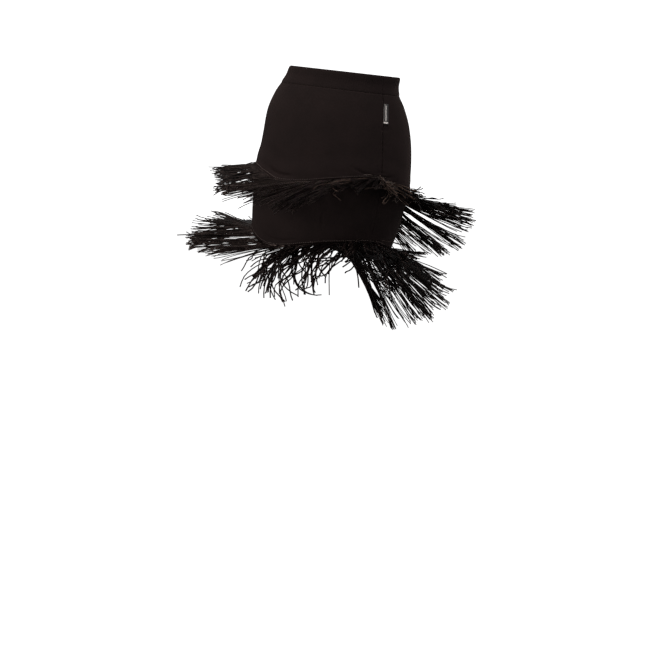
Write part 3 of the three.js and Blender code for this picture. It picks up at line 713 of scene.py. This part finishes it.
def cord_paths(hem, flight, is_upper, seed):
    """Centre lines of a tier's cords, as cords by points by three, with sides, radii and shades."""
    rng = np.random.default_rng(seed)
    lock = np.repeat(np.arange(LOCKS), LOCK_CORDS)
    swag = np.arange(LOCKS) // SWAG_LOCKS
    cords = len(lock)
    scatter = rng.uniform(-LOCK_SCATTER, LOCK_SCATTER, LOCKS)
    around = ((np.arange(LOCKS) + scatter) * 360 / LOCKS)[lock]
    own_around = around + rng.uniform(-ROOT_SCATTER, ROOT_SCATTER, cords) * 360 / LOCKS
    fly = {column: read_table(flight, "around", column, around, 360) for column in flight[0]}
    strand = np.arange(cords) // STRAND_CORDS
    leader = strand * STRAND_CORDS
    own_share = UPPER_OWN_SHARE if is_upper else LOWER_OWN_SHARE
    loose = rng.uniform(0, 1, cords)[leader] < fly["loose"]
    along = (np.arange(CORD_STEPS) + 0.5) / CORD_STEPS

    def swag_share():
        """A random share for each lock, on which the locks of a swag partly agree."""
        agreed = rng.uniform(-1, 1, LOCKS)[swag] * SWAG_AGREE
        return (agreed + rng.uniform(-1, 1, LOCKS) * SWAG_DIFFER)[lock]

    def spread(size, loose_size):
        """Random amounts; loose cords of one strand nearly agree, least in the upper tier."""
        agreed = rng.normal(0, 1, cords // STRAND_CORDS + 1)[strand]
        own = rng.normal(0, 1, cords)
        return np.where(loose, loose_size * (agreed + own_share * own), size * own)[:, None]

    def curl(size, loose_size):
        """A bend that grows evenly along each cord."""
        return spread(size, loose_size) * along

    def wave(size, loose_size):
        """A wave along each cord, wider where the cords droop."""
        turns = along * rng.uniform(0.5, 1.3, cords)[leader][:, None]
        turns = turns + rng.uniform(0, 1, cords)[leader][:, None]
        limp = LEAST_LIMP + fly["droop"] / FULL_DROOP
        return spread(size, loose_size * limp) * np.sin(2 * np.pi * turns)

    def kinks():
        """Small kinks all along a cord, and a hook in its last fifth."""
        hook = rng.normal(0, HOOK, cords)[:, None] * np.maximum(along - HOOK_FROM, 0) / HOOK_SHARE
        return rng.normal(0, KINK, (cords, CORD_STEPS)) + hook

    turn = fly["turn"] + fly["sweep"] * swag_share() + spread(*TURN_SPREAD)[:, 0]
    rise = fly["rise"] + fly["fan"] * swag_share() + spread(*RISE_SPREAD)[:, 0]
    stray = (rng.uniform(0, 1, LOCKS) < STRAYS)[lock]
    rise = rise + np.where(stray, STRAY_RISE, 0)
    bend = rng.normal(0, LOCK_BEND, LOCKS)[lock]
    lift = fly["lift"] + rng.normal(0, LOCK_LIFT, LOCKS)[lock]
    droop = fly["droop"] * np.where(loose, np.abs(spread(*DROOP_SPREAD))[:, 0], 0)
    rise = rise - droop * LOOSE_START
    lift = lift - droop * (1 - LOOSE_START)
    bearing = (around - turn)[:, None] - bend[:, None] * along
    bearing = np.radians(bearing + curl(*TURN_CURL) + wave(*TURN_WAVE) + kinks())
    pitch = rise[:, None] + lift[:, None] * along
    pitch = pitch + curl(*RISE_CURL) + wave(*RISE_WAVE) + kinks()
    # Loose cords never climb above the rise at their root.
    pitch = np.radians(np.where(loose[:, None], np.minimum(pitch, rise[:, None]), pitch))
    ahead = np.stack([np.cos(pitch) * np.sin(bearing), -np.cos(pitch) * np.cos(bearing),
                      np.sin(pitch)], axis=-1)
    ragged = 1 + rng.normal(0, LOCK_RAGGED, LOCKS)[lock] + rng.normal(0, CORD_RAGGED, cords)
    step = CORD_LENGTH / CORD_STEPS * fly["reach"] * np.clip(ragged, SHORTEST, LONGEST)
    step = step * np.where(stray, STRAY_REACH, 1)

    def root_at(places, below):
        """Points in the middle of the tape, below the hem's edge."""
        out = (upper_lift(np.zeros(cords)) if is_upper else 0) - JERSEY - GAP - TAPE / 2
        out = out + hem_curl(hem, places, np.zeros(cords))
        return cloth_point(places, read_table(hem, "around", "drop", places, 360) + below, out)

    root = root_at(around, ROOT_BELOW_HEM)
    below = ROOT_BELOW_HEM + rng.uniform(-ROOT_SCATTER, ROOT_SCATTER_DOWN, cords)
    own_root = root_at(own_around, below)
    angle = np.radians(around)
    start = root + ROOT_RUN * np.stack([np.sin(angle), -np.cos(angle), np.zeros(cords)], axis=-1)
    run = start[:, None] + np.cumsum(ahead * step[:, None, None], axis=1)
    paths = np.concatenate([root[:, None], start[:, None], run], axis=1)
    share = np.concatenate([[0, 0], (np.arange(CORD_STEPS) + 1) / CORD_STEPS])
    apart = 1 - CLOSED * smoothstep(share / CLOSING)
    paths = paths + (own_root - root)[:, None] * apart[None, :, None]
    first = bearing[:, 0]
    sideways = np.stack([np.cos(first), np.sin(first), np.zeros(cords)], axis=-1)
    shade = rng.uniform(0, 1, LOCKS)[lock] * LOCK_SHADE + rng.uniform(0, 1 - LOCK_SHADE, cords)
    # Painted highlight: the upper tier's loose cords take the lightest tenth of the colours.
    shade = np.where(loose & is_upper, PAINTED_GLINT_FROM + PAINTED_GLINT_SPAN * shade, shade * PAINTED_GLINT_FROM)
    radius = CORD_RADIUS * np.where(loose & (not is_upper), LOOSE_SWELL, 1)
    return paths, sideways, radius, shade


def cord_mesh(name, paths, sideways, radius, shade):
    """Four-sided cords along the paths, closed at both ends."""
    cords, points, _ = paths.shape
    ahead = np.gradient(paths, axis=1)
    ahead /= np.linalg.norm(ahead, axis=-1, keepdims=True)
    aside = sideways[:, None, :]
    side = aside - ahead * np.sum(ahead * aside, axis=-1, keepdims=True)
    side /= np.linalg.norm(side, axis=-1, keepdims=True)
    above = np.cross(ahead, side)
    across = side[:, :, None, :] * np.cos(CORNERS)[:, None]
    ring = across + above[:, :, None, :] * np.sin(CORNERS)[:, None]
    vertices = paths[:, :, None, :] + ring * radius[:, None, None, None]
    start = (np.arange(cords) * points * 4)[:, None, None]
    ring_start = start + (np.arange(points - 1) * 4)[None, :, None]
    corner = ring_start + np.arange(4)
    beside = ring_start + (np.arange(4) + 1) % 4
    sides = np.stack([corner, beside, beside + 4, corner + 4], axis=-1).reshape(-1, 4)
    first = start.reshape(-1, 1) + np.array([3, 2, 1, 0])
    last = start.reshape(-1, 1) + (points - 1) * 4 + np.array([0, 1, 2, 3])
    notes = np.empty(vertices.shape)
    notes[..., 0] = np.arange(4) / 4
    notes[..., 1] = (np.arange(points) * CORD_LENGTH / (points - 1))[None, :, None]
    notes[..., 2] = shade[:, None, None]
    return build_mesh(name, vertices, np.concatenate([sides, first, last]), notes.reshape(-1, 3))


# Viscose chainette, knitted and dyed black: deeper black than the jersey, with the silky glint
# of filament yarn, and a painted highlight in the lighter colours of the upper tier's loose cords.
# The chain's loops are 1.7 mm long, drawn at 3 mm to show.
CHAIN_LOOP = 3.0


def chainette_material():
    yarn = new_material("black_viscose_chainette")
    place = add(yarn, "ShaderNodeAttribute", attribute_name="cloth_mm").outputs["Vector"]
    apart = add(yarn, "ShaderNodeSeparateXYZ", {0: place}).outputs
    loops = add(yarn, "ShaderNodeMath", {0: apart["Y"], 1: 2 * math.pi / CHAIN_LOOP}, operation="MULTIPLY")
    chain = add(yarn, "ShaderNodeMath", {0: loops.outputs[0]}, operation="SINE")
    # The ramp's top tenth, up to the pale brown stop, is painted highlight for the upper tier's loose
    # cords; below it is the yarn's own black, varied at random.
    colour = add(yarn, "ShaderNodeValToRGB", {0: apart["Z"]},
                 [(0.0, "#020101"), (0.6, "#070404"), (PAINTED_GLINT_FROM, "#140e0d"), (1.0, "#40352f")])
    bump = add(yarn, "ShaderNodeBump", {
        "Strength": 0.5, "Distance": 0.0004, "Height": chain.outputs[0]})
    shader = add(yarn, "ShaderNodeBsdfPrincipled", {
        "Base Color": colour.outputs[0], "Roughness": 0.34, "Specular IOR Level": 0.12,
        "Specular Tint": linear("#ffe8e2"),
        "Sheen Weight": 0.002, "Sheen Roughness": 0.3, "Sheen Tint": linear("#c8b8b4"),
        "Normal": bump.outputs[0]})
    add(yarn, "ShaderNodeOutputMaterial", {"Surface": shader.outputs[0]})
    return yarn


chainette = chainette_material()
for tier, hem, flight, is_upper, seed in (("upper", UPPER_HEM, UPPER_FLIGHT, True, 11),
                                          ("lower", LOWER_HEM, LOWER_FLIGHT, False, 23)):
    tape = heading_tape(tier + "_heading_tape", hem, is_upper)
    tape.data.materials.append(chainette)
    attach(tape, "root")
    paths, sideways, radius, shade = cord_paths(hem, flight, is_upper, seed)
    cords = cord_mesh(tier + "_fringe_cords", paths, sideways, radius, shade)
    cords.data.materials.append(chainette)
    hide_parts(tier + "_fringe")
    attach(cords, "root")

# Label
# A short satin tape folded in two, its ends caught in the left side seam and its fold lying
# back over the back panel. It carries a plain pale bar at its foot and a plain pale stripe.
LABEL_TOP = 51.5
LABEL_FOOT = 88.5
LABEL_ROWS = 24
LABEL_WIDTH = 14
LABEL_CURL = 0.5
# The label's outline, in mm along from the seam and out from the cloth: along its inner leaf to
# the fold, back along its outer leaf, then along the inside of both. LABEL_FACE is the side
# that shows.
LABEL_OUTLINE = [
    (0.2, 0.3), (6, 0.45), (13.2, 0.4), (14, 0.7),
    (14, 1.3), (13.2, 1.6), (6, 1.75), (0.2, 1.4),
    (0.2, 1.0), (6, 1.35), (12.6, 1.2), (13.1, 1.1),
    (13.1, 0.9), (12.6, 0.8), (6, 0.85), (0.2, 0.7),
]
LABEL_FACE = LABEL_OUTLINE[4:8]
STRIPE_SIDES = (5.2, 7.6)
STRIPE_ENDS = (55, 82)
BAR_SIDES = (0.8, 12.4)
BAR_ENDS = (84.6, 87.4)
# Woven polyester satin, black with pale yarn floated for the bar and the stripe. Its picks of
# weft are 0.3 mm apart, drawn at 0.6 mm.
WEFT = 0.6


def label_material():
    satin = new_material("woven_satin_label")
    place = add(satin, "ShaderNodeAttribute", attribute_name="cloth_mm").outputs["Vector"]
    apart = add(satin, "ShaderNodeSeparateXYZ", {0: place}).outputs

    def pale_patch(sides, ends):
        """1 inside a rectangle of the shown face, and 0 elsewhere."""
        patch = apart["Z"]
        for across, (low, high) in ((apart["X"], sides), (apart["Y"], ends)):
            for edge, operation in ((low, "GREATER_THAN"), (high, "LESS_THAN")):
                inside = add(satin, "ShaderNodeMath", {0: across, 1: edge}, operation=operation)
                patch = add(satin, "ShaderNodeMath", {0: patch, 1: inside.outputs[0]},
                            operation="MULTIPLY").outputs[0]
        return patch

    stripe = pale_patch(STRIPE_SIDES, STRIPE_ENDS)
    bar = pale_patch(BAR_SIDES, BAR_ENDS)
    pale = add(satin, "ShaderNodeMath", {0: stripe, 1: bar}, operation="MAXIMUM")
    colour = add(satin, "ShaderNodeValToRGB", {0: pale.outputs[0]},
                 [(0.0, "#0c0b0c"), (1.0, "#8b8887")])
    weft = add(satin, "ShaderNodeMath", {0: apart["Y"], 1: 2 * math.pi / WEFT}, operation="MULTIPLY")
    rib = add(satin, "ShaderNodeMath", {0: weft.outputs[0]}, operation="SINE")
    bump = add(satin, "ShaderNodeBump", {
        "Strength": 0.2, "Distance": 0.0002, "Height": rib.outputs[0]})
    shader = add(satin, "ShaderNodeBsdfPrincipled", {
        "Base Color": colour.outputs[0], "Roughness": 0.45, "Specular IOR Level": 0.45,
        "Normal": bump.outputs[0]})
    add(satin, "ShaderNodeOutputMaterial", {"Surface": shader.outputs[0]})
    return satin


def folded_label():
    """The folded tape as a closed strip: its outline swept down the seam."""
    along, drop = np.meshgrid([along for along, _ in LABEL_OUTLINE],
                              np.linspace(LABEL_TOP, LABEL_FOOT, LABEL_ROWS))
    towards_foot = (drop - LABEL_TOP) / (LABEL_FOOT - LABEL_TOP)
    curl = LABEL_CURL * towards_foot ** 3 * (along / LABEL_WIDTH) ** 2
    out = np.array([out for _, out in LABEL_OUTLINE]) + curl
    degrees_per_mm = np.degrees(1 / read_table(RINGS, "drop", "side", drop))
    around = read_table(SIDE_SEAM, "drop", "around", drop) + along * degrees_per_mm
    points = cloth_point(around, drop, out)
    sides = len(LABEL_OUTLINE)
    row, side = np.meshgrid(np.arange(LABEL_ROWS - 1), np.arange(sides), indexing="ij")
    here = row * sides + side
    beside = row * sides + (side + 1) % sides
    faces = [np.stack([here, beside, beside + sides, here + sides], axis=-1).reshape(-1, 4)]
    pairs = np.arange(sides // 2 - 1)
    for base, turn in ((0, 1), ((LABEL_ROWS - 1) * sides, -1)):
        cap = np.stack([pairs, sides - 1 - pairs, sides - 2 - pairs, pairs + 1], axis=-1) + base
        faces.append(cap[:, ::turn])
    is_shown = np.broadcast_to([point in LABEL_FACE for point in LABEL_OUTLINE], drop.shape)
    notes = np.stack([along, drop, is_shown], axis=-1)
    return build_mesh("side_label", points, np.concatenate(faces), notes.reshape(-1, 3))


label = folded_label()
label.data.materials.append(label_material())
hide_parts("label")
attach(label, "root")

# Stitching
# Black polyester thread: one row of lockstitch near each hem's edge holds its fold and its
# heading tape. The side seams are sewn from inside, so they show no thread. The stitches are
# 3.4 mm apart and 0.3 mm thick, drawn 4.2 mm apart and 1.1 mm thick to show.
HEM_ROUND = 880
STITCH_PITCH = 4.2
STITCH_LENGTH = 2.5
STITCH_RADIUS = 0.55
STITCH_TAPER = 0.45
STITCH_PROUD = 0.5
# The middle of the body between the two hems, in mm.
BODY_MIDDLE = [-30.0, 0.0, 0.0]


# Spun polyester sewing thread, dyed black: small soft highlights on each stitch, and a colour
# well above black that is painted sheen. Its twist is drawn as a noise of 1500 patches in a metre.
def thread_material():
    thread = new_material("black_polyester_thread")
    place = add(thread, "ShaderNodeTexCoord").outputs["Object"]
    twist = add(thread, "ShaderNodeTexNoise", {"Vector": place, "Scale": 1500.0, "Detail": 1.0})
    # Painted sheen: both stops are much lighter than black thread, so the stitches read lighter than the
    # cloth; the noise between them is the twist.
    colour = add(thread, "ShaderNodeValToRGB", {0: twist.outputs[0]},
                 [(0.3, "#241f1e"), (0.7, "#463e3c")])
    bump = add(thread, "ShaderNodeBump", {
        "Strength": 0.3, "Distance": 0.0002, "Height": twist.outputs[0]})
    shader = add(thread, "ShaderNodeBsdfPrincipled", {
        "Base Color": colour.outputs[0], "Roughness": 0.45, "Specular IOR Level": 0.3,
        "Normal": bump.outputs[0]})
    add(thread, "ShaderNodeOutputMaterial", {"Surface": shader.outputs[0]})
    return thread


def stitches(name, rows):
    """Stitches as short spindles. Each row is where they stand and which way it runs there."""
    middle = np.concatenate([places for places, _ in rows])
    ahead = np.concatenate([run for _, run in rows])
    ahead /= np.linalg.norm(ahead, axis=-1, keepdims=True)
    inward = BODY_MIDDLE - middle
    inward[:, 2] = 0
    aside = np.cross(ahead, inward)
    aside /= np.linalg.norm(aside, axis=-1, keepdims=True)
    above = np.cross(aside, ahead)
    points = []
    for along, thick in ((-0.5, STITCH_TAPER), (0, 1), (0.5, STITCH_TAPER)):
        for turn in CORNERS:
            ring = STITCH_RADIUS * thick * (aside * math.cos(turn) + above * math.sin(turn))
            points.append(middle + ahead * along * STITCH_LENGTH + ring)
    points = np.stack(points, axis=1)
    spindle = [[3, 2, 1, 0], [8, 9, 10, 11]]
    for ring in (0, 4):
        for here, beside in ((0, 1), (1, 2), (2, 3), (3, 0)):
            spindle.append([ring + here, ring + beside, ring + beside + 4, ring + here + 4])
    faces = np.array(spindle) + (np.arange(len(middle)) * points.shape[1])[:, None, None]
    return build_mesh(name, points, faces.reshape(-1, 4))


def hem_row(hem, out_at):
    """Where the stitches of a hem stand on its cloth, and which way the row runs there."""
    count = round(HEM_ROUND / STITCH_PITCH)
    around = np.arange(count) * 360 / count
    drop = read_table(hem, "around", "drop", around, 360) - STITCH_ABOVE
    places = cloth_point(around, drop, out_at(around, drop) + STITCH_RADIUS * STITCH_PROUD)
    return places, np.roll(places, -1, axis=0) - np.roll(places, 1, axis=0)


sewn = stitches("hem_topstitching", [hem_row(UPPER_HEM, upper_out), hem_row(LOWER_HEM, lower_out)])
sewn.data.materials.append(thread_material())
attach(sewn, "root")

# Studio
# A plain white floor under the skirt and a plain white backdrop all round it, both lit on their
# own so that they stay white, and soft boxes: a key from the left, a fill from the right and
# one overhead. Its sizes are in metres.
FLOOR_DROP = 1.12
FLOOR_RINGS = [0.02, 2.0, 40.0]
FLOOR_GLOW = 0.75
BACKDROP_RADIUS = 45.0
BACKDROP_GLOW = 1.0
STUDIO_SPOKES = 96
MM_PER_METRE = 1000
VIEW_AROUND = math.radians(30)
LIT_DROP = 0.22
SURROUND = 0.35


def lit_white(name, glow):
    """White vinyl with its own light on it, as a glow of the surface."""
    material = new_material(name)
    shader = add(material, "ShaderNodeBsdfPrincipled", {
        "Base Color": linear("#f4f4f4"), "Roughness": 0.95, "Specular IOR Level": 0.0,
        "Emission Color": linear("#ffffff"), "Emission Strength": glow})
    add(material, "ShaderNodeOutputMaterial", {"Surface": shader.outputs[0]})
    return material


def studio_shell(name, rings, glow):
    """A surface of rings of radius and height in metres, seen but casting no light of its own."""
    angle = np.arange(STUDIO_SPOKES) * 2 * np.pi / STUDIO_SPOKES
    points = [[radius * math.cos(turn), radius * math.sin(turn), height]
              for radius, height in rings for turn in angle]
    faces = grid_faces(len(rings), STUDIO_SPOKES, True)
    shell = build_mesh(name, np.array(points) * MM_PER_METRE, faces)
    shell.data.materials.append(lit_white(name + "_vinyl", glow))
    shell.visible_diffuse = False
    shell.visible_glossy = False
    shell.visible_shadow = False


studio_shell("studio_floor", [(radius, -FLOOR_DROP) for radius in FLOOR_RINGS], FLOOR_GLOW)
dome = [(BACKDROP_RADIUS * math.cos(slope), BACKDROP_RADIUS * math.sin(slope))
        for slope in np.radians(np.arange(-88, 90, 8))]
studio_shell("studio_backdrop", dome, BACKDROP_GLOW)

scene = bpy.context.scene
scene.view_settings.view_transform = "Standard"
world = bpy.data.worlds.new("soft_surround")
world.use_nodes = True
background = world.node_tree.nodes["Background"].inputs
background["Color"].default_value = linear("#ffffff")
background["Strength"].default_value = SURROUND
scene.world = world

right = np.array([math.cos(VIEW_AROUND), math.sin(VIEW_AROUND), 0.0])
towards = np.array([math.sin(VIEW_AROUND), -math.cos(VIEW_AROUND), 0.0])


def look_at(thing, place, target):
    """Stands a lamp or camera at a place, facing its target."""
    thing.location = place
    thing.rotation_euler = (Vector(target) - Vector(place)).to_track_quat("-Z", "Y").to_euler()


def soft_box(name, aside, ahead, height, size, power, colour):
    """A square area light, placed in metres to the right of, in front of and above the hips."""
    lamp = bpy.data.lights.new(name, "AREA")
    lamp.size = size
    lamp.energy = power
    lamp.color = linear(colour)[:3]
    box = bpy.data.objects.new(name, lamp)
    scene.collection.objects.link(box)
    centre = np.array([0.0, 0.0, -LIT_DROP])
    look_at(box, centre + right * aside + towards * ahead + np.array([0, 0, height]), centre)


soft_box("key_softbox", -3.2, 1.0, 1.0, 1.0, 180, "#fff2ea")
soft_box("fill_softbox", 1.9, 2.3, 0.0, 1.2, 58, "#fbf6f2")
soft_box("top_softbox", 0.6, 0.9, 2.4, 0.8, 70, "#fff6f0")

# Camera
# At the photo's angle: 30 degrees round to the left side, as high as the upper hem and looking
# a little down, with a long lens. ORIGIN is the pixel where the middle of the waist falls.
CAMERA_DISTANCE = 3.6
CAMERA_DROP = 0.233
MM_PER_PIXEL = 2.0
PICTURE_SIDE = 651
ORIGIN_X = 344.2
ORIGIN_Y = 73.3
SENSOR = 36.0
centre_right = (PICTURE_SIDE / 2 - ORIGIN_X) * MM_PER_PIXEL * MM
centre_down = (PICTURE_SIDE / 2 - ORIGIN_Y) * MM_PER_PIXEL * MM
target = right * centre_right + np.array([0, 0, -centre_down])
place = right * centre_right + towards * CAMERA_DISTANCE + np.array([0, 0, -CAMERA_DROP])
lens_distance = float(np.linalg.norm(target - place))
camera_data = bpy.data.cameras.new("camera")
camera_data.sensor_width = SENSOR
camera_data.lens = SENSOR * lens_distance / (PICTURE_SIDE * MM_PER_PIXEL * MM)
camera = bpy.data.objects.new("camera", camera_data)
scene.collection.objects.link(camera)
look_at(camera, place, target)
scene.camera = camera
